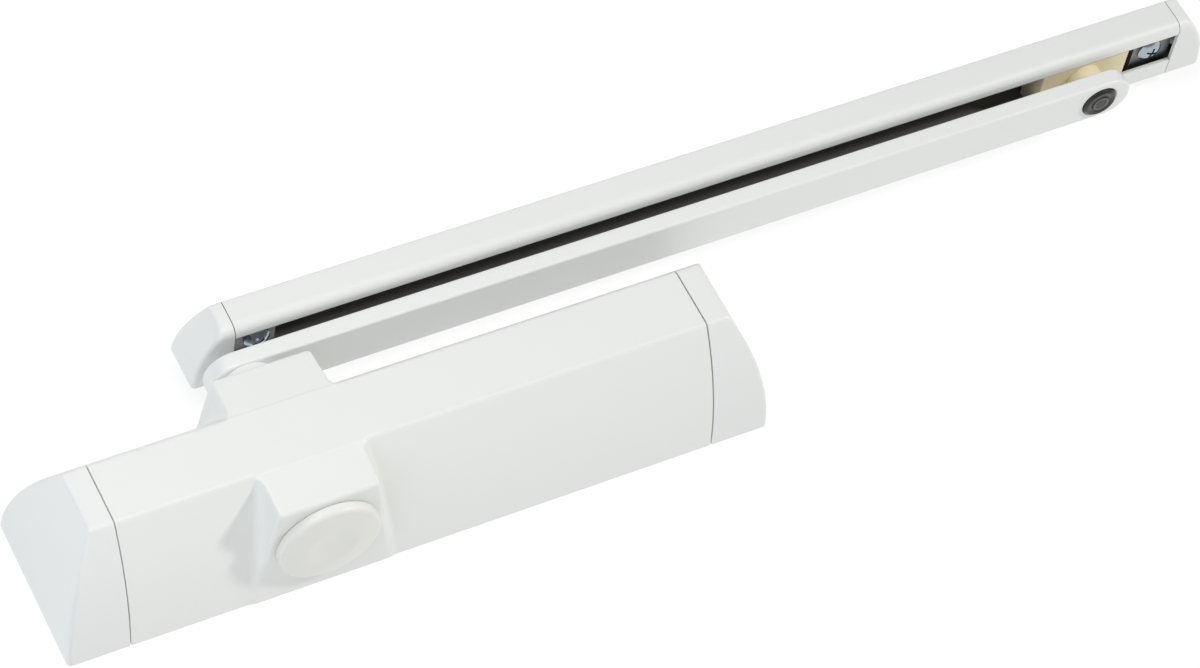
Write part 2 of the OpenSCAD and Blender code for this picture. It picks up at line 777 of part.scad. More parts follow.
// Mirrors a piece of the channel's right end to its left end
module to_left_end() {
    translate([2 * rail_mid_x, 0, 0]) mirror([1, 0, 0]) children();
}
module channel_cap_left() {
    color([0.90, 0.91, 0.94]) to_left_end() rail_cap(0);
}
module channel_cap_right() {
    color([0.90, 0.91, 0.94]) rail_cap(rail_lip);
}
// Foot under the end cap, with a fixing hole, and a tongue inside the channel's end
module fixing_block() {
    foot_y0 = rail_y + rail_cap_wall + 0.6;
    foot_y1 = rail_y + rail_h_back - rail_cap_wall - 1.4;
    difference() {
        union() {
            block([rail_seam1 - 0.5, foot_y0, rail_z], [rail_x1 - rail_cap_wall - 1.2, foot_y1, rail_z + 7]);
            block([rail_seam1 - tongue_l, tongue_y, rail_z + rail_wall + tongue_gap],
                  [rail_seam1, head_top, rail_front - rail_wall - tongue_gap - 2]);
        }
        block([rail_seam1 - 1, foot_y0 - 1, rail_z - 1],
              [rail_seam1 + 0.2, foot_y1 + 1, rail_z + rail_wall + tongue_gap]);
        translate([rail_x1 - rail_fix_in, (foot_y0 + foot_y1) / 2, rail_z - 1])
            cylinder(h = 9, r = rail_fix_r);
        rod_y(rail_y, head_top + 1, rail_screw_r + seat_gap, rail_seam1 - rail_screw_in);
    }
}
module fixing_block_left() {
    color([0.60, 0.61, 0.63]) to_left_end() fixing_block();
}
module fixing_block_right() {
    color([0.60, 0.61, 0.63]) fixing_block();
}
// Pan-head screw with a cross recess, its head towards the arm
module channel_screw() {
    x = rail_seam1 - rail_screw_in;
    head_y0 = tongue_y - rail_head_t;
    ball_r = 8;
    difference() {
        union() {
            intersection() {
                rod_y(head_y0, tongue_y, rail_head_r, x);
                translate([x, head_y0 + ball_r, mid_z]) sphere(r = ball_r);
            }
            rod_y(tongue_y - 0.5, head_top + 1.5, rail_screw_r, x);
        }
        for (turn = [0, 90])
            translate([x, head_y0, mid_z]) rotate([0, turn + 20, 0]) cube([5, 3, 1.1], center = true);
    }
}
module channel_screws() {
    color([0.80, 0.81, 0.83]) {
        channel_screw();
        to_left_end() channel_screw();
    }
}

housing();
end_cap_left();
end_cap_right();
spindle_cover();
spindle();
cover_bearing();
arm_bearing();
bearing_nuts();
shaft_seals();
spring_piston();
spring_piston_ring();
spring_roller();
spring_roller_pin();
damping_piston();
damping_piston_ring();
damping_roller();
damping_roller_pin();
check_valve();
check_ball();
closing_spring_outer();
closing_spring_inner();
damping_spring();
spring_plate();
adjusting_screw();
adjusting_collar();
end_plug_left();
end_plug_right();
plug_seals();
closing_valve();
latching_valve();
arm();
arm_screw();
arm_collar();
pivot_screw();
pivot_bush();
pivot_clip();
slide_block();
slide_channel();
channel_cap_left();
channel_cap_right();
fixing_block_left();
fixing_block_right();
channel_screws();
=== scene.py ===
import json
import math

import bmesh
import bpy
import numpy as np
from mathutils import Matrix, Vector


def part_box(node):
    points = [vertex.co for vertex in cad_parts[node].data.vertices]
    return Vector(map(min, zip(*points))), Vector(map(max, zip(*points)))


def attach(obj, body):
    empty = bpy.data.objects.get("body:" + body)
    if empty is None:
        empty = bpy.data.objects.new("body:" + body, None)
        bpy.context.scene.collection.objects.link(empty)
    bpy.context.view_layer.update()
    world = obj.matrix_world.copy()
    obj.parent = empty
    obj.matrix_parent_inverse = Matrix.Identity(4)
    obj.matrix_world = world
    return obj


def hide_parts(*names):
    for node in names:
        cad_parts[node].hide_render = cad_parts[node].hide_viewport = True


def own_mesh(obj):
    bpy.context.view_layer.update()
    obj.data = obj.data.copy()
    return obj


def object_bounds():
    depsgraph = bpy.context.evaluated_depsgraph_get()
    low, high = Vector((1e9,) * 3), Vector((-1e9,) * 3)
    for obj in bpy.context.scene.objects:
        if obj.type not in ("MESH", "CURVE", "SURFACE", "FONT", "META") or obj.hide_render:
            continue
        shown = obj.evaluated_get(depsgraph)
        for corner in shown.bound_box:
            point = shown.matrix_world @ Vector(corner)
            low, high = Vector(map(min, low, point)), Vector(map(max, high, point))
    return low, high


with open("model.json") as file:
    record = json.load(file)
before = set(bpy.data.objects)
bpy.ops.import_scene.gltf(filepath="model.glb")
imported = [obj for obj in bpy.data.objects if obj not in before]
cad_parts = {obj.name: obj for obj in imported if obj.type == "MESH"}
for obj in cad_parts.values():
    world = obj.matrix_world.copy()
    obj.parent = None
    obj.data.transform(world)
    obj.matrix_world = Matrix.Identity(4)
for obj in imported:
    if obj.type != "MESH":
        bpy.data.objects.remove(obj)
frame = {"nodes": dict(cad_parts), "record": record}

MM = 0.001
cad_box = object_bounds()


# ---- places and sizes in millimetres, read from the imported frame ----

def node_box(name):
    """Lowest and highest corner of a CAD node, in millimetres."""
    low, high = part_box(name)
    return np.array(low) / MM, np.array(high) / MM


housing_high = node_box("housing")[1]
cap_low, cap_high = node_box("end_cap_right")
cover_low, cover_high = node_box("spindle_cover")
arm_low, arm_high = node_box("arm")
screw_low, screw_high = node_box("pivot_screw")
rail_low, rail_high = node_box("slide_channel")
rail_cap_high = node_box("channel_cap_right")[1]
rail_left_low = node_box("channel_cap_left")[0]

depth = housing_high[2]         # mounting face to front face
side_y = cap_high[1]            # half height at the mounting face
half_l = cap_high[0]
cap_seam = 0.5
peg_l = 6.0                     # the caps' pegs reach this far back from the caps' edge
cap_start = cap_low[0] + peg_l
seam_x = cap_start - cap_seam
spindle_x, spindle_z = (cover_low[[0, 2]] + cover_high[[0, 2]]) / 2
cover_r = (cover_high[0] - cover_low[0]) / 2
boss_inset = 1.3
boss_y = side_y - boss_inset
cover_h = -boss_y - cover_low[1]
crease_y = 12.7
side_bow = 3.6
bore_r = 19.0
cap_face_r = 100.0
cap_wall = 2.0

pivot_x = (screw_low[0] + screw_high[0]) / 2
pivot_head_r = (screw_high[0] - screw_low[0]) / 2
rail_y, rail_z = rail_low[1], rail_low[2]
rail_front = rail_high[2]
rail_end = rail_cap_high[0]
rail_face_r = 45.0
rail_wall = 1.8
rail_cap_wall = 1.6
rail_cap_seam = 0.3
rail_fall = 6.3                 # back of the channel's top to its front
rail_bow = 0.8
rail_cap_start = rail_high[0] + rail_cap_seam
rail_mid_x = (rail_left_low[0] + rail_cap_high[0]) / 2
slot_half = 7.8
rail_core = 8.0                 # underside to the line that the channel's rays start from

side_chord = math.hypot(side_y - crease_y, depth)
side_r = (side_chord ** 2 / 4 + side_bow ** 2) / (2 * side_bow)
side_cy = (crease_y + side_y) / 2 - (side_r - side_bow) * depth / side_chord
side_cz = depth / 2 - (side_r - side_bow) * (side_y - crease_y) / side_chord


# ---- signed distances, negative inside; a rounded edge or fillet has its radius r ----

def both(a, b, r):
    """What is inside a and b, with the edge between them rounded."""
    u = np.maximum(r + a, 0)
    v = np.maximum(r + b, 0)
    return np.minimum(-r, np.maximum(a, b)) + np.hypot(u, v)


def either(a, b, r):
    """What is inside a or b, with a fillet in the corner between them."""
    u = np.maximum(r - a, 0)
    v = np.maximum(r - b, 0)
    return np.maximum(r, np.minimum(a, b)) - np.hypot(u, v)


def ramp(t):
    """Smooth rise from 0 to 1 as t goes from 0 to 1."""
    t = np.clip(t, 0, 1)
    return t * t * (3 - 2 * t)


def side_arc(y, z):
    """Either bowed side of the housing."""
    return np.hypot(np.abs(y) - side_cy, z - side_cz) - side_r


def housing_profile(x, y, z):
    """The housing's section: two bowed sides and a flat front with softened creases."""
    return both(side_arc(y, z), z - depth, 0.8)


def boss_sides(x, y, z):
    """Both spindle bosses without their fronts: a flat outer face and two leaning sides."""
    half_edge, flare_front, flare_back = 19.3, 0.7, 7.8
    out = np.abs(y)
    lean_y = flare_front / (boss_y - crease_y)
    lean_z = flare_back / depth
    half = half_edge + lean_y * (boss_y - out) + lean_z * (depth - z)
    side = (np.abs(x - spindle_x) - half) / math.sqrt(1 + lean_y ** 2 + lean_z ** 2)
    return both(out - boss_y, side, 1.7)


def housing_form(x, y, z):
    """Housing and bosses with fillets between, under one front that falls outward over both."""
    end_round = 0.35
    near_end = np.clip(end_round - (seam_x - np.abs(x)), 0, end_round)
    inset = end_round - np.sqrt(np.maximum(end_round ** 2 - near_end ** 2, 0))
    fall, step = 1.55, 0.25
    beyond = np.maximum(np.abs(y) - crease_y, 0)
    slope = fall / (boss_y - crease_y)
    front = (z - depth + step * ramp(beyond / 0.5) + beyond * slope) / math.hypot(1, slope)
    edge = 0.8 + 0.5 * ramp(beyond / 5)
    fillet = 2.6 + 1.2 * ramp(beyond / 9)
    return both(either(side_arc(y, z), boss_sides(x, y, z), fillet), front, edge) + inset


def cap_form(x, y, z, inset=0.0):
    """An end cap: the housing's section cut by a bowed end face with a soft edge."""
    face = np.hypot(x - (half_l - cap_face_r), z) - cap_face_r
    soft = 0.8 + 0.9 * ramp((np.abs(y) - 18) / 8)
    return both(housing_profile(x, y, z), face, soft) + inset


def rail_profile(x, y, z):
    """The channel's section: flat underside, bowed top that leans, and a round lower front edge."""
    t = np.clip((z - rail_z) / (rail_front - rail_z), 0, 1)
    lean = rail_fall / (rail_front - rail_z)
    top_y = rail_high[1] - rail_fall * t + 4 * rail_bow * t * (1 - t)
    top = (y - top_y) / math.hypot(1, lean)
    lower = both(rail_y - y, z - rail_front, 4.0)
    return both(lower, top, 0.9)


def rail_cap_form(x, y, z, inset=0.0):
    """A channel cap: the channel's section cut by a bowed end face with a soft edge."""
    face = np.hypot(x - (rail_end - rail_face_r), z - rail_z) - rail_face_r
    soft = 0.9 + 0.8 * ramp((rail_y + 9 - y) / 7)
    return both(rail_profile(x, y, z), face, soft) + inset


# ---- meshes ----

def make_object(name, verts, faces, smooth=True):
    """New mesh object from points in millimetres."""
    mesh = bpy.data.meshes.new(name)
    mesh.from_pydata([tuple(v) for v in np.asarray(verts) * MM], [], faces)
    bm = bmesh.new()
    bm.from_mesh(mesh)
    bmesh.ops.remove_doubles(bm, verts=bm.verts, dist=2e-6)
    bmesh.ops.dissolve_degenerate(bm, edges=bm.edges, dist=2e-6)
    bmesh.ops.recalc_face_normals(bm, faces=bm.faces)
    bm.to_mesh(mesh)
    bm.free()
    mesh.polygons.foreach_set("use_smooth", [smooth] * len(mesh.polygons))
    obj = bpy.data.objects.new(name, mesh)
    bpy.context.scene.collection.objects.link(obj)
    return obj


def ray_surface(form, xs, angles, y0, z0, reach=80.0):
    """Where rays from the line (y0, z0) meet a form, as points[row][column]."""
    x = np.asarray(xs)[:, None]
    cos = np.cos(np.radians(angles))[None, :]
    sin = np.sin(np.radians(angles))[None, :]
    low = np.zeros((len(xs), len(angles)))
    high = np.full_like(low, reach)
    for _ in range(42):
        mid = (low + high) / 2
        inside = form(x, y0 + mid * cos, z0 + mid * sin) < 0
        low = np.where(inside, mid, low)
        high = np.where(inside, high, mid)
    points = np.empty(low.shape + (3,))
    points[..., 0] = x
    points[..., 1] = y0 + low * cos
    points[..., 2] = z0 + low * sin
    return points


def grid_faces(rows, columns, start=0, flip=False):
    """Four-sided faces over rows of points that begin at vertex start."""
    faces = []
    for i in range(rows - 1):
        for j in range(columns - 1):
            a = start + i * columns + j
            quad = (a, a + 1, a + columns + 1, a + columns)
            faces.append(quad[::-1] if flip else quad)
    return faces


def spaced(*stretches):
    """Sorted places from (from, to, step) stretches; finer stretches may overlap coarser ones."""
    found = []
    for a, b, step in stretches:
        found.extend(np.linspace(a, b, max(2, round(abs(b - a) / step) + 1)))
    found = np.array(sorted(found))
    keep = np.concatenate([[True], np.diff(found) > 0.02])
    return found[keep]


def cut(obj, cutter):
    """Subtracts one object from another and removes the cutter."""
    change = obj.modifiers.new("cut", "BOOLEAN")
    change.operation = "DIFFERENCE"
    change.solver = "EXACT"
    change.object = cutter
    apply_modifiers(obj)
    bpy.data.objects.remove(cutter)


def apply_modifiers(obj):
    """Bakes the object's modifiers into its mesh."""
    graph = bpy.context.evaluated_depsgraph_get()
    mesh = bpy.data.meshes.new_from_object(obj.evaluated_get(graph))
    obj.modifiers.clear()
    old = obj.data
    obj.data = mesh
    bpy.data.meshes.remove(old)


def lathe(name, outline, origin, axis, segments=96):
    """Solid turned about axis through origin; outline lists (radius, distance along axis)."""
    axis = Vector(axis)
    side = axis.orthogonal().normalized()
    other = axis.cross(side)
    verts, faces = [], []
    n = len(outline)
    for i in range(segments):
        a = 2 * math.pi * i / segments
        for radius, along in outline:
            out = (side * math.cos(a) + other * math.sin(a)) * radius
            verts.append(np.array(origin) + np.array(out + axis * along))
    for i in range(segments):
        k = (i + 1) % segments
        for j in range(n - 1):
            faces.append((i * n + j, k * n + j, k * n + j + 1, i * n + j + 1))
    if outline[0][0] > 0:
        faces.append(tuple(i * n for i in range(segments)))
    if outline[-1][0] > 0:
        faces.append(tuple(i * n + n - 1 for i in range(segments))[::-1])
    return make_object(name, verts, faces)


def loft(name, rings):
    """Solid through closed rings that have the same number of points."""
    n = len(rings[0])
    faces = []
    for i in range(len(rings) - 1):
        for j in range(n):
            k = (j + 1) % n
            faces.append((i * n + j, i * n + k, (i + 1) * n + k, (i + 1) * n + j))
    faces.append(tuple(range(n))[::-1])
    faces.append(tuple((len(rings) - 1) * n + j for j in range(n)))
    return make_object(name, [point for ring in rings for point in ring], faces)


def join(obj, other):
    """Adds other's mesh to obj's."""
    bm = bmesh.new()
    bm.from_mesh(obj.data)
    bm.from_mesh(other.data)
    bm.to_mesh(obj.data)
    bm.free()
    bpy.data.objects.remove(other)


def rod(p0, axis, length, radius, segments=64):
    """Plain round cutter."""
    return lathe("cutter", [(radius, 0), (radius, length)], p0, axis, segments)


def sharpen(obj, degrees=32):
    """Keeps smooth shading, except across edges sharper than the angle."""
    bm = bmesh.new()
    bm.from_mesh(obj.data)
    for face in bm.faces:
        face.smooth = True
    for edge in bm.edges:
        flat = len(edge.link_faces) != 2 or edge.calc_face_angle(0) < math.radians(degrees)
        edge.smooth = flat
    bm.to_mesh(obj.data)
    bm.free()


def mirrored_x(obj, name, mid_x):
    """Copy of obj mirrored across the plane x = mid_x."""
    copy = bpy.data.objects.new(name, obj.data.copy())
    across = Matrix.Scale(-1, 4, (1, 0, 0))
    copy.data.transform(Matrix.Translation((2 * mid_x * MM, 0, 0)) @ across)
    copy.data.flip_normals()
    bpy.context.scene.collection.objects.link(copy)
    return copy


# ---- detailed pieces ----

def housing_cutters():
    """What the housing is bored with: main bore, spindle bores and recesses, and valve holes."""
    nut_r, recess_r, recess_t, nut_depth, beyond = 13.05, 17.2, 3, 3.2, 3
    cutters = [rod((-seam_x - 2, 0, spindle_z), (1, 0, 0), 2 * seam_x + 4, bore_r, 96)]
    for s in (-1, 1):
        cutters.append(rod((spindle_x, 0, spindle_z), (0, s, 0), boss_y + 2, nut_r - 2))
        cutters.append(rod((spindle_x, s * (boss_y - nut_depth), spindle_z), (0, s, 0), 6, nut_r))
        ring = [(nut_r - 1, -recess_t), (recess_r, -recess_t), (recess_r, beyond),
                (nut_r - 1, beyond), (nut_r - 1, -recess_t)]
        cutters.append(lathe("cutter", ring, (spindle_x, s * boss_y, spindle_z), (0, s, 0)))
    for valve in ("closing_valve", "latching_valve"):
        low, high = node_box(valve)
        mid_y, mid_z = (low[1] + high[1]) / 2, (low[2] + high[2]) / 2
        side = 1 if low[0] > 0 else -1
        begin = low[0] - 0.1 if side > 0 else high[0] + 0.1
        length = abs(side * (seam_x + 1) - begin)
        radius = (high[1] - low[1]) / 2 + 0.05
        cutters.append(rod((begin, mid_y, mid_z), (side, 0, 0), length, radius))
    return cutters


def make_housing():
    """Housing with its bosses as one skin over a grid that is finer along edges, then bored."""
    crease = math.degrees(math.atan2(depth, crease_y))
    boss_edge = math.degrees(math.atan2(depth - 2.4, boss_y - 0.8))
    half = spaced((0, 90, 1.5), (crease - 2.5, crease + 2.5, 0.3),
                  (boss_edge - 4, boss_edge + 4, 0.4))
    angles = np.concatenate([half, 180 - half[-2::-1]])
    walls = [(spindle_x + s * 17, spindle_x + s * 32, 0.22) for s in (-1, 1)]
    ends = [(s * (seam_x - 0.36), s * seam_x, 0.07) for s in (-1, 1)]
    xs = spaced((-seam_x, seam_x, 4), *walls, *ends)
    points = ray_surface(housing_form, xs, angles, 0, 0)
    rows, columns = points.shape[:2]
    verts = points.reshape(-1, 3)
    faces = grid_faces(rows, columns)
    faces.append(tuple(range(columns))[::-1])
    faces.append(tuple((rows - 1) * columns + j for j in range(columns)))
    for i in range(rows - 1):
        a = i * columns
        faces.append((a, a + columns, a + 2 * columns - 1, a + columns - 1))
    shell = make_object("housing_shell", verts, faces)
    for cutter in housing_cutters():
        cut(shell, cutter)
    sharpen(shell)
    return shell


def make_shell_cap(name, form, levels, start, angles, y0, z0, face_x, wall):
    """Open-backed cap: an outer and an inner skin joined along the seam and the mounting face."""
    straight = 12
    xs = np.concatenate([np.linspace(start, face_x(levels[0]) - 1.2, straight), face_x(levels)])
    outer = ray_surface(form, xs, angles, y0, z0)
    inner_xs = np.concatenate([xs[:straight], xs[straight:] - wall])
    inner_xs = np.minimum(inner_xs, xs[-1] - wall)
    inner_xs[:straight] = np.linspace(start, inner_xs[straight] - 0.4, straight)
    inner = ray_surface(lambda x, y, z: form(x, y, z, wall), inner_xs, angles, y0, z0)
    rows, columns = outer.shape[:2]
    verts = np.concatenate([outer.reshape(-1, 3), inner.reshape(-1, 3)])
    far = rows * columns
    faces = grid_faces(rows, columns) + grid_faces(rows, columns, far, flip=True)
    for j in range(columns - 1):
        faces.append((j + 1, j, far + j, far + j + 1))
    for i in range(rows - 1):
        for j in (0, columns - 1):
            a, b = i * columns + j, (i + 1) * columns + j
            faces.append((a, b, far + b, far + a))
    last = (rows - 1) * columns
    middle, end = last + columns // 2, last + columns - 1
    faces.append((last, middle, far + middle, far + last))
    faces.append((middle, end, far + end, far + middle))
    cap = make_object(name, verts, faces)
    sharpen(cap, 40)
    return cap


def bowed_end(end, radius):
    """Where a bowed end face lies along X at a height above the mounting face."""
    return lambda z: end - radius + np.sqrt(radius ** 2 - z ** 2)


def make_end_caps():
    """The housing's two end caps, the left one a mirror image."""
    levels = np.concatenate([np.linspace(depth - 0.2, depth - 3, 12),
                             np.linspace(depth - 3.8, 1, 66), [0.4, 0.001]])
    crease = math.degrees(math.atan2(depth, crease_y))
    half = spaced((0, 90, 0.7), (crease - 2.5, crease + 2.5, 0.3))
    angles = np.concatenate([half, 180 - half[-2::-1]])
    right = make_shell_cap("end_cap_right_shell", cap_form, levels, cap_start, angles, 0, 0,
                           bowed_end(half_l, cap_face_r), cap_wall)
    left = mirrored_x(right, "end_cap_left_shell", 0)
    return left, right


def make_channel_caps():
    """The channel's two end caps, the left one a mirror image."""
    rise = rail_front - rail_z
    levels = np.concatenate([np.linspace(rise - 0.2, rise - 2.4, 9),
                             np.linspace(rise - 3, 0.8, 44), [0.3, 0.001]])
    right = make_shell_cap("channel_cap_right_shell", rail_cap_form, levels, rail_cap_start,
                           np.linspace(0, 180, 241), rail_y + rail_core, rail_z,
                           bowed_end(rail_end, rail_face_r), rail_cap_wall)
    left = mirrored_x(right, "channel_cap_left_shell", rail_mid_x)
    return left, right


def make_spindle_cover():
    """Low puck with a round rim, a gently domed crown, a shallow dish and a skirt behind it."""
    crown_r, dish_r, dish_depth, rim_r = 100.0, 50.0, 1.5, 1.9
    seat, wall, crown_t, blend = 0.06, 2.2, 3.2, 0.35
    skirt_r, skirt_inner_r, skirt_low, skirt_high = 16.8, 15.2, -2.7, 0.8
    drop = lambda r: crown_r - math.sqrt(crown_r ** 2 - r ** 2)
    inner_wall = cover_r - wall
    outline = [(inner_wall, seat), (cover_r - 0.3, seat), (cover_r, 0.36)]
    rim_top = cover_h - drop(cover_r - rim_r)
    for a in np.linspace(0, 90, 10):
        c, s = math.cos(math.radians(a)), math.sin(math.radians(a))
        outline.append((cover_r - rim_r * (1 - c), rim_top - rim_r * (1 - s)))
    for r in np.linspace(cover_r - rim_r - 0.8, 0, 40):
        crown = cover_h - drop(r)
        dish = cover_h - dish_depth + dish_r - math.sqrt(dish_r ** 2 - r ** 2)
        soft = max(blend - abs(crown - dish), 0) ** 2 / (4 * blend)
        outline.append((r, min(crown, dish) - soft))
    outline += [(r, cover_h - crown_t - drop(r)) for r in np.linspace(0, inner_wall - 0.4, 14)]
    outline.append((inner_wall, seat))
    skirt = [(skirt_r, skirt_high), (skirt_r, -2.4), (16.4, skirt_low), (15.4, skirt_low),
             (skirt_inner_r, -2.4), (skirt_inner_r, skirt_high), (skirt_r, skirt_high)]
    origin = (spindle_x, -boss_y, spindle_z)
    cover = lathe("spindle_cover_shell", outline, origin, (0, -1, 0), 160)
    join(cover, lathe("skirt", skirt, origin, (0, -1, 0), 96))
    sharpen(cover, 40)
    return cover


def make_arm():
    """Flat bar with round ends and rounded edges, sunk for two screws and the spindle's square."""
    y0, y1 = arm_low[1], arm_high[1]
    tail, edge = 3.3, 1.1
    r0, r1 = spindle_x - arm_low[0], 10.0
    x0, x1 = spindle_x - tail, arm_high[0] - r1
    z = (arm_low[2] + arm_high[2]) / 2
    tilt = math.asin((r0 - r1) / (x1 - x0))
    near = np.linspace(math.pi / 2 - tilt, 1.5 * math.pi + tilt, 48)
    farther = np.linspace(-math.pi / 2 + tilt, math.pi / 2 - tilt, 48)
    straight = np.linspace(0, 1, 14)[1:-1]
    turn = np.linspace(0, math.pi / 2, 7)

    def end_arc(x, r, angles):
        return [(x + r * math.cos(a), z + r * math.sin(a)) for a in angles]

    def between(a, b):
        return [tuple(np.array(a) * (1 - t) + np.array(b) * t) for t in straight]

    levels = [(y0 + edge * (1 - math.sin(a)), edge * (1 - math.cos(a))) for a in turn[::-1]]
    levels += [(y1 - edge * (1 - math.sin(a)), edge * (1 - math.cos(a))) for a in turn]
    rings = []
    for y, inset in levels:
        left = end_arc(x0, r0 - inset, near)
        right = end_arc(x1, r1 - inset, farther)
        ring = left + between(left[-1], right[0]) + right + between(right[-1], left[0])
        rings.append([(px, y, pz) for px, pz in ring])
    arm = loft("arm_bar", rings)

    sink_r, chamfer, sink_depth, shoulder_r = pivot_head_r + 0.2, 0.45, 3.2, 4.05
    sink = [(sink_r + chamfer, -1), (sink_r + chamfer, 0), (sink_r, chamfer), (sink_r, sink_depth)]
    screw_head_r, screw_sink, square_r = 5.7, 2.2, 7.2
    cut(arm, lathe("cutter", sink, (pivot_x, y0, z), (0, 1, 0)))
    cut(arm, rod((pivot_x, y0 - 1, z), (0, 1, 0), y1 - y0 + 2, shoulder_r))
    cut(arm, rod((spindle_x, y1 - screw_sink, z), (0, 1, 0), 3, screw_head_r))
    cut(arm, rod((spindle_x, y0 - 1, z), (0, 1, 0), y1 - y0 - 1.6, square_r, 4))
    sharpen(arm)
    return arm


def make_pivot_screw():
    """Shoulder screw: low head with a chamfered rim and a hexagon socket, and a grooved shank."""
    clip_low, clip_high = node_box("pivot_clip")
    start, length = screw_low[1], screw_high[1] - screw_low[1]
    groove = [clip_low[1] - 0.05 - start, clip_high[1] + 0.05 - start]
    r, head_l, shank_r, groove_r, socket_r = pivot_head_r, 4.1, 4.0, 3.3, 2.9
    outline = [(0, 0), (r - 1.0, 0), (r - 0.85, 0.08), (r - 0.12, 0.72), (r, 0.9), (r, head_l),
               (shank_r, head_l), (shank_r, groove[0]), (groove_r, groove[0]),
               (groove_r, groove[1]), (shank_r, groove[1]), (shank_r, length - 0.4),
               (shank_r - 0.4, length), (0, length)]
    origin = (pivot_x, start, spindle_z)
    screw = lathe("pivot_shoulder_screw", outline, origin, (0, 1, 0))
    cut(screw, rod((pivot_x, start - 1, spindle_z), (0, 1, 0), 4.0, socket_r, 6))
    cut(screw, lathe("cutter", [(3.5, -0.1), (2.6, 0.7)], origin, (0, 1, 0), 48))
    sharpen(screw, 25)
    return screw


def channel_skin(inset):
    """The channel's section from the back of its top to the back of its underside, as (y, z)."""
    angles = spaced((0, 180, 1.5), (150, 178, 0.8))
    form = lambda x, y, z: rail_profile(x, y, z) + inset
    return ray_surface(form, [0], angles, rail_y + rail_core, rail_z)[0][:, 1:]


def channel_outline():
    """Closed section: outer skin, back lip, inner skin and front lip, soft-edged at the slot."""
    soft = 0.45
    outer, inner = channel_skin(0), channel_skin(rail_wall)
    lower, upper = spindle_z - slot_half, spindle_z + slot_half

    def lip(z, side):
        """Round-edged lip at height z; side is +1 for the front lip and -1 for the back lip."""
        arc = np.linspace(0, math.pi / 2, 5)
        first = [(rail_y + soft * (1 - math.cos(a)), z + side * soft * (1 - math.sin(a)))
                 for a in arc]
        second = [(rail_y + rail_wall - soft * (1 - math.sin(a)),
                   z + side * soft * (1 - math.cos(a))) for a in arc]
        return first + second

    def clear_of_slot(points, floor_y, lowest_z):
        """Points above lowest_z that are not in the slot's plane below the front lip."""
        return [tuple(p) for p in points
                if p[1] > lowest_z and (p[0] >= floor_y + 0.05 or p[1] >= upper + soft)]

    outline = clear_of_slot(outer[::-1], rail_y, rail_z + 0.01)
    outline += [(outer[0][0], rail_z), (rail_y, rail_z)]
    outline += lip(lower, -1)
    outline += [(rail_y + rail_wall, rail_z + rail_wall), (inner[0][0], rail_z + rail_wall)]
    outline += clear_of_slot(inner, rail_y + rail_wall, rail_z + rail_wall)
    outline += lip(upper, 1)[::-1]
    return outline


def make_channel():
    """Extruded channel, painted outside; inside, bare metal darkened as painted shade."""
    x0, x1 = rail_low[0], rail_high[0]
    outline = channel_outline()
    rows = [x0, x0 + 0.15, *np.linspace(x0 + 6, x1 - 6, 24), x1 - 0.15, x1]
    channel = loft("channel_extrusion", [[(x, y, z) for y, z in outline] for x in rows])
    sharpen(channel, 34)
    channel.data.materials.append(materials["channel_paint"])
    channel.data.materials.append(materials["channel_inside"])
    # Faces inside the channel get the dark finish, which is painted shade for the slot's inside.
    for face in channel.data.polygons:
        inward = -rail_profile(0, *(np.array(face.center[1:]) / MM))
        clear = min(face.center[1] / MM - rail_y, face.center[2] / MM - rail_z)
        if min(inward, clear) > rail_wall - 0.3:
            face.material_index = 1
    return channel


# ---- materials ----

def link(tree, a, out, b, into):
    """Joins output out of node a to input into of node b."""
    tree.links.new(a.outputs[out], b.inputs[into])


def noise(tree, coords, scale, detail=3.0, stretch=(1, 1, 1)):
    """Noise texture over the object's own coordinates."""
    mapping = tree.nodes.new("ShaderNodeMapping")
    mapping.inputs["Scale"].default_value = stretch
    tex = tree.nodes.new("ShaderNodeTexNoise")
    tex.inputs["Scale"].default_value = scale
    tex.inputs["Detail"].default_value = detail
    link(tree, coords, "Object", mapping, "Vector")
    link(tree, mapping, "Vector", tex, "Vector")
    return tex


def spread(tree, source, low, high):
    """Turns a texture's middle range into a value from low to high."""
    node = tree.nodes.new("ShaderNodeMapRange")
    node.inputs["From Min"].default_value = 0.3
    node.inputs["From Max"].default_value = 0.7
    node.inputs["To Min"].default_value = low
    node.inputs["To Max"].default_value = high
    link(tree, source, "Fac", node, "Value")
    return node


def edge_mask(tree, radius, gain):
    """1 along sharp edges and 0 on open surfaces, from how far a bevelled normal turns."""
    bevel = tree.nodes.new("ShaderNodeBevel")
    bevel.samples = 4
    bevel.inputs["Radius"].default_value = radius
    normal = tree.nodes.new("ShaderNodeNewGeometry")
    dot = tree.nodes.new("ShaderNodeVectorMath")
    dot.operation = "DOT_PRODUCT"
    link(tree, bevel, "Normal", dot, 0)
    link(tree, normal, "Normal", dot, 1)
    node = tree.nodes.new("ShaderNodeMapRange")
    node.inputs["From Min"].default_value = 1.0
    node.inputs["From Max"].default_value = 0.8
    node.inputs["To Min"].default_value = 0.0
    node.inputs["To Max"].default_value = gain
    link(tree, dot, "Value", node, "Value")
    return node


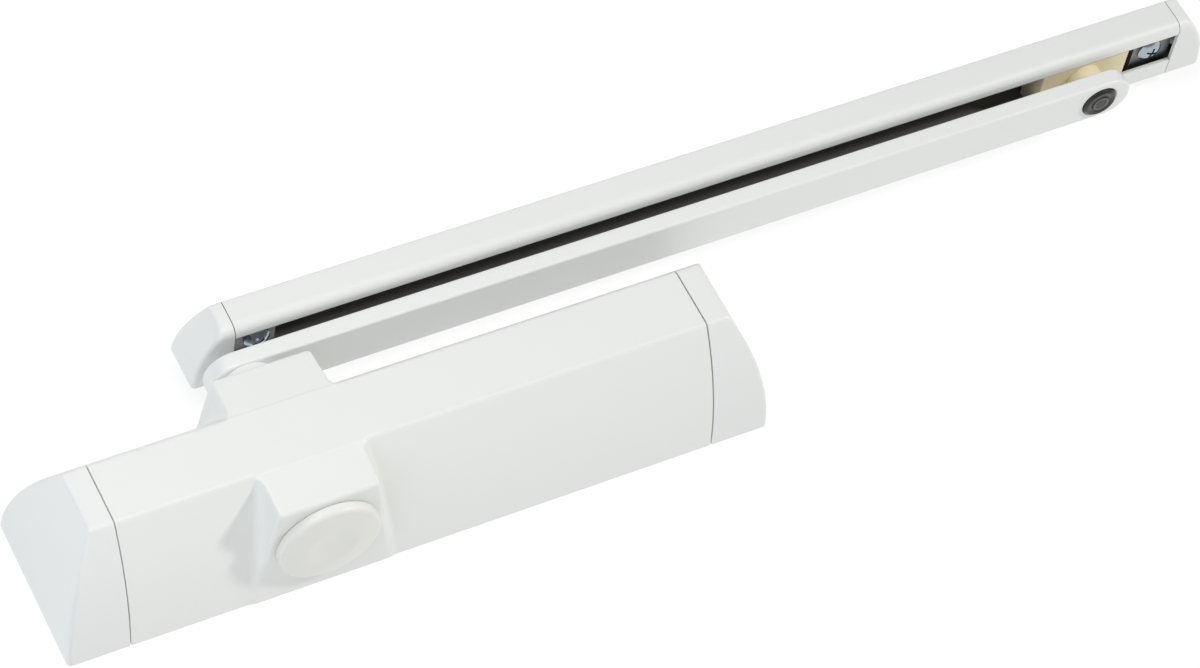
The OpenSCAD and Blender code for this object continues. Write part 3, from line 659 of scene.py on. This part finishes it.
def surface(name, color, roughness, metallic=0.0, mottle=0.02, grain=(900.0, 0.04),
            rough_spread=0.06, stretch=(1, 1, 1), edge_wear_and_highlight=None, edge_wear_and_highlight_gain=0.5, coat=0.0, ior=1.5,
            translucence=0.0):
    """Procedural finish: mottled colour, uneven roughness, fine surface relief and a lighter edge
    tint, which is rubbed wear on metals and a painted highlight on white finishes.
    """
    mat = bpy.data.materials.new(name)
    mat.use_nodes = True
    tree = mat.node_tree
    shader = tree.nodes["Principled BSDF"]
    shader.inputs["Metallic"].default_value = metallic
    shader.inputs["IOR"].default_value = ior
    shader.inputs["Coat Weight"].default_value = coat
    shader.inputs["Coat Roughness"].default_value = 0.12
    if translucence:
        shader.inputs["Subsurface Weight"].default_value = translucence
        shader.inputs["Subsurface Radius"].default_value = (0.004, 0.003, 0.002)
        shader.inputs["Subsurface Scale"].default_value = 0.6
    coords = tree.nodes.new("ShaderNodeTexCoord")

    cloud = noise(tree, coords, 26.0, 4.0, stretch)
    shade = tree.nodes.new("ShaderNodeMix")
    shade.data_type = "RGBA"
    shade.inputs["A"].default_value = (*[c * (1 - mottle) for c in color], 1)
    shade.inputs["B"].default_value = (*[min(c * (1 + mottle), 1) for c in color], 1)
    link(tree, cloud, "Fac", shade, "Factor")
    colour_out = shade
    # Lighter colour along sharp edges: worn metal on the metals, a painted highlight along the
    # edges of white paint and plastic.
    if edge_wear_and_highlight:
        mask = edge_mask(tree, 0.0005, edge_wear_and_highlight_gain)
        patch = noise(tree, coords, 160.0, 3.0)
        amount = tree.nodes.new("ShaderNodeMath")
        amount.operation = "MULTIPLY"
        amount.use_clamp = True
        link(tree, mask, "Result", amount, 0)
        link(tree, patch, "Fac", amount, 1)
        edge = tree.nodes.new("ShaderNodeMix")
        edge.data_type = "RGBA"
        edge.inputs["B"].default_value = (*edge_wear_and_highlight, 1)
        tree.links.new(amount.outputs[0], edge.inputs["Factor"])
        tree.links.new(shade.outputs["Result"], edge.inputs["A"])
        colour_out = edge
    tree.links.new(colour_out.outputs["Result"], shader.inputs["Base Color"])

    smear = noise(tree, coords, 75.0, 5.0, stretch)
    rough = spread(tree, smear, roughness - rough_spread, roughness + rough_spread)
    link(tree, rough, "Result", shader, "Roughness")

    scale, strength = grain
    relief = noise(tree, coords, scale, 2.0, stretch)
    bump = tree.nodes.new("ShaderNodeBump")
    bump.inputs["Strength"].default_value = strength
    bump.inputs["Distance"].default_value = 0.0002
    link(tree, relief, "Fac", bump, "Height")
    link(tree, bump, "Normal", shader, "Normal")
    return mat


def make_materials():
    """Every finish: one for each material slot in the record, and the channel's bare inside,
    darkened as painted shade.
    """
    # Painted highlight: a lighter white laid along the sharp edges of the white paints and
    # plastics.
    painted_edge_highlight = (0.88, 0.88, 0.87)
    turned = (1.0, 14.0, 14.0)
    return {
        "housing_paint": surface("housing_paint", (0.800, 0.815, 0.790), 0.36, mottle=0.008,
                                 grain=(1100.0, 0.05), edge_wear_and_highlight=painted_edge_highlight, edge_wear_and_highlight_gain=0.5, coat=0.15),
        "arm_paint": surface("arm_paint", (0.800, 0.815, 0.800), 0.34, mottle=0.008,
                             grain=(1200.0, 0.04), edge_wear_and_highlight=painted_edge_highlight, edge_wear_and_highlight_gain=0.5, coat=0.2),
        "channel_paint": surface("channel_paint", (0.790, 0.806, 0.782), 0.36, mottle=0.008,
                                 grain=(1200.0, 0.04), edge_wear_and_highlight=painted_edge_highlight, edge_wear_and_highlight_gain=0.4, coat=0.15),
        "cap_plastic": surface("cap_plastic", (0.795, 0.808, 0.795), 0.40, mottle=0.006,
                               grain=(1700.0, 0.05), edge_wear_and_highlight=painted_edge_highlight, edge_wear_and_highlight_gain=0.3, ior=1.46),
        "cover_plastic": surface("cover_plastic", (0.775, 0.780, 0.735), 0.34, mottle=0.01,
                                 grain=(1500.0, 0.04), edge_wear_and_highlight=painted_edge_highlight, edge_wear_and_highlight_gain=0.3, ior=1.46,
                                 translucence=0.15),
        "collar_plastic": surface("collar_plastic", (0.780, 0.795, 0.780), 0.42, mottle=0.01,
                                  grain=(1500.0, 0.05), edge_wear_and_highlight=painted_edge_highlight, edge_wear_and_highlight_gain=0.3, ior=1.46),
        "block_plastic": surface("block_plastic", (0.760, 0.670, 0.450), 0.50, mottle=0.03,
                                 grain=(1300.0, 0.10), edge_wear_and_highlight=(0.80, 0.72, 0.52), edge_wear_and_highlight_gain=0.8,
                                 ior=1.46, translucence=0.2),
        "ring_plastic": surface("ring_plastic", (0.035, 0.040, 0.048), 0.5, mottle=0.1,
                                grain=(1500.0, 0.1), edge_wear_and_highlight=(0.08, 0.08, 0.09)),
        "machined_steel": surface("machined_steel", (0.36, 0.37, 0.39), 0.30, 1.0, 0.06,
                                  (900.0, 0.12), 0.08, turned, (0.55, 0.56, 0.58), 0.9),
        "bearing_steel": surface("bearing_steel", (0.52, 0.53, 0.55), 0.18, 1.0, 0.03,
                                 (1600.0, 0.05), 0.05, turned, (0.7, 0.7, 0.72), 0.7),
        "spring_steel": surface("spring_steel", (0.12, 0.125, 0.135), 0.38, 1.0, 0.12,
                                (1400.0, 0.12), 0.08, (1, 1, 1), (0.3, 0.3, 0.32), 0.8),
        "zinc_steel": surface("zinc_steel", (0.38, 0.42, 0.47), 0.16, 1.0, 0.08,
                              (1300.0, 0.06), 0.07, (1, 1, 1), (0.85, 0.87, 0.9), 0.8),
        "black_steel": surface("black_steel", (0.055, 0.053, 0.052), 0.33, 0.85, 0.12,
                               (1500.0, 0.10), 0.08, (1, 1, 1), (0.26, 0.25, 0.24), 0.9),
        "brass": surface("brass", (0.52, 0.37, 0.15), 0.28, 1.0, 0.05,
                         (1200.0, 0.08), 0.08, turned, (0.75, 0.6, 0.32), 0.8),
        "plug_aluminium": surface("plug_aluminium", (0.55, 0.56, 0.58), 0.32, 1.0, 0.04,
                                  (1000.0, 0.1), 0.08, turned, (0.75, 0.76, 0.78), 0.8),
        # Painted shade: zinc darkened to stand in for the shade over the fixing blocks in the slot.
        "fixing_zinc": surface("fixing_zinc", (0.20, 0.205, 0.21), 0.44, 0.9, 0.08,
                               (700.0, 0.25), 0.1, (1, 1, 1), (0.6, 0.6, 0.62), 0.8),
        # Painted shade: bare metal inside the channel, made dark to stand in for the shade in the
        # slot.
        "channel_inside": surface("channel_inside", (0.210, 0.203, 0.185), 0.42, 0.3, 0.15,
                                  (700.0, 0.15), 0.1, (0.1, 6.0, 6.0), (0.2, 0.2, 0.19), 0.6),
        "seal_rubber": surface("seal_rubber", (0.012, 0.012, 0.013), 0.62, 0.0, 0.15,
                               (1600.0, 0.12), 0.08, (1, 1, 1), (0.04, 0.04, 0.045), 0.6),
    }


materials = make_materials()
slots = {part["node"]: part["material_slot"] for part in frame["record"]["subparts"]}


def place(piece, node, *more):
    """The piece takes the place, the body and the finish of one or more CAD nodes."""
    body = next(b for b, nodes in frame["record"]["behaviour"]["bodies"].items() if node in nodes)
    if not piece.data.materials:
        piece.data.materials.append(materials[slots[node]])
    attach(piece, body)
    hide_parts(node, *more)


for name, obj in frame["nodes"].items():
    if not obj.material_slots:
        obj.data.materials.append(materials[slots[name]])
    for slot in obj.material_slots:
        slot.material = materials[slots[name]]

place(make_housing(), "housing")
cap_left, cap_right = make_end_caps()
place(cap_left, "end_cap_left")
place(cap_right, "end_cap_right")
place(make_spindle_cover(), "spindle_cover")
place(make_arm(), "arm")
place(make_pivot_screw(), "pivot_screw")
place(make_channel(), "slide_channel")
rail_cap_left, rail_cap_right = make_channel_caps()
place(rail_cap_left, "channel_cap_left")
place(rail_cap_right, "channel_cap_right")


def place_closing_spring(node):
    """A copy of the spring's coil that takes the spring node's place, body and finish."""
    coil = bpy.data.objects.new(node + "_coil", frame["nodes"][node].data.copy())
    bpy.context.scene.collection.objects.link(coil)
    place(coil, node)
    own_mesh(coil)


for spring in ("closing_spring_outer", "closing_spring_inner"):
    place_closing_spring(spring)


# ---- floor, light and camera ----

def make_floor():
    """White floor that glows a little, so it stays white and still takes a shadow."""
    bpy.ops.mesh.primitive_plane_add(size=12, location=(0.1, 0, cad_box[0][2] - 0.0005))
    floor = bpy.context.object
    floor.name = "floor"
    mat = bpy.data.materials.new("studio_floor")
    mat.use_nodes = True
    tree = mat.node_tree
    shader = tree.nodes["Principled BSDF"]
    shader.inputs["Base Color"].default_value = (0.25, 0.25, 0.25, 1)
    shader.inputs["Roughness"].default_value = 0.9
    shader.inputs["Specular IOR Level"].default_value = 0.0
    shader.inputs["Emission Color"].default_value = (1, 1, 1, 1)
    shader.inputs["Emission Strength"].default_value = 0.79
    floor.data.materials.append(mat)


def make_light(name, place_at, aim, size, power, color=(1, 1, 1)):
    """Rectangular area light, turned to face the point aim."""
    data = bpy.data.lights.new(name, "AREA")
    data.shape = "RECTANGLE"
    data.size, data.size_y = size
    data.energy = power
    data.color = color
    lamp = bpy.data.objects.new(name, data)
    lamp.location = place_at
    lamp.rotation_euler = (Vector(aim) - Vector(place_at)).to_track_quat("-Z", "Y").to_euler()
    bpy.context.scene.collection.objects.link(lamp)


def make_camera():
    """Long lens, looking down at the front from the left end's lower side, tilted a little."""
    azimuth, elevation, roll = (math.radians(a) for a in (-36.32, 53.89, 12.3))
    distance, lens = 1.5855, 129.58
    aside, above = 0.0767, 0.0511
    back = Vector((math.sin(azimuth) * math.cos(elevation),
                   -math.cos(azimuth) * math.cos(elevation), math.sin(elevation)))
    level = Vector((math.cos(azimuth), math.sin(azimuth), 0))
    upright = back.cross(level)
    right = level * math.cos(roll) + upright * math.sin(roll)
    up = upright * math.cos(roll) - level * math.sin(roll)
    eye = back * distance + right * aside + up * above
    data = bpy.data.cameras.new("camera")
    data.sensor_width = 36
    data.lens = lens
    data.clip_end = 50
    camera = bpy.data.objects.new("camera", data)
    rotation = Matrix((right, up, back)).transposed().to_4x4()
    camera.matrix_world = Matrix.Translation(eye) @ rotation
    bpy.context.scene.collection.objects.link(camera)
    bpy.context.scene.camera = camera


def make_world():
    """Even, faintly cool light from all round."""
    world = bpy.data.worlds.new("studio")
    bpy.context.scene.world = world
    world.use_nodes = True
    background = world.node_tree.nodes["Background"]
    background.inputs["Color"].default_value = (0.98, 0.99, 1.0, 1)
    background.inputs["Strength"].default_value = 0.36


make_floor()
make_light("key", (2.93, -1.11, 2.55), (0, -0.03, 0.05), (0.4, 0.4), 62.0, (1.0, 0.975, 0.94))
make_light("fill", (-1.14, -0.33, 0.72), (-0.1, 0, 0), (0.8, 0.8), 3.8, (0.76, 0.85, 1.0))
make_light("top", (-0.3, 0.05, 1.05), (0, 0, 0), (0.9, 0.9), 5.6, (1, 0.995, 0.98))
make_world()
make_camera()
bpy.context.scene.view_settings.view_transform = "Standard"
